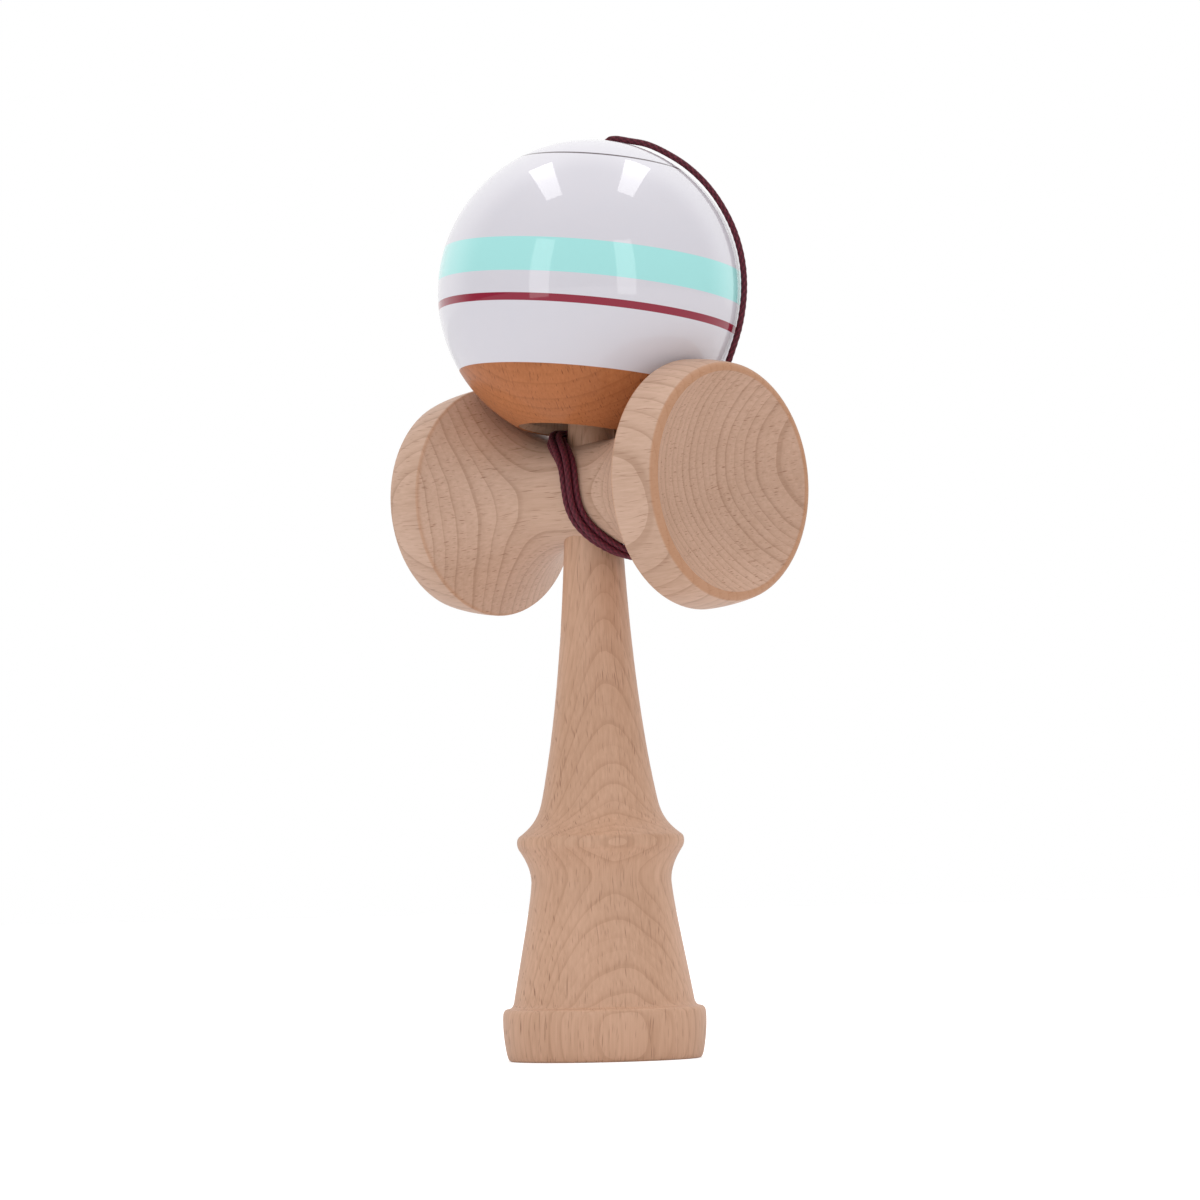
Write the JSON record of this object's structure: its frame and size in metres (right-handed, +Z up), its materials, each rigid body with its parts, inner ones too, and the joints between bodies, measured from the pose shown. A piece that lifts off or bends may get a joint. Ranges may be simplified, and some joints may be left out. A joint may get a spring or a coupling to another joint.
{
  "type": "kendama",
  "caption": "Kendama: turned wooden handle with spike and base cup, cross piece with two cups, and a drilled ball tied on by a string and resting on the spike.",
  "frame": {"origin": "centre of the base cup's rim, on the handle's axis, where the handle stands on a table", "axes": "+Z up the handle to the spike; +X along the cross piece to the big cup; +Y to the back"},
  "size_m": [0.0722, 0.06, 0.1806],
  "materials": {
    "beech": "bare turned beech, fine sanded, satin",
    "lacquered_ball": "beech ball, glossy white lacquer with a mint band and a maroon line, clear-coated tan cap",
    "string": "maroon braided polyester string",
    "bead_wood": "plain turned wood, satin"
  },
  "bodies": {
    "handle": {"ken": "beech", "sarado": "beech", "string_wraps": "string", "ken_knot": "string"},
    "string_end": {"string_run": "string", "bead": "bead_wood", "bead_knot": "string"},
    "ball": {"tama": "lacquered_ball"}
  },
  "joints": [
    {"name": "ball_lift", "type": "slide", "parent": "handle", "child": "string_end", "axis": [0, 0, 1], "range_m": [0, 0.048]},
    {"name": "ball_spin", "type": "hinge", "parent": "string_end", "child": "ball", "pos_m": [0.0004, 0.0005, 0.1497], "axis": [0.0553, 0.1086, 0.9925], "continuous": true}
  ]
}
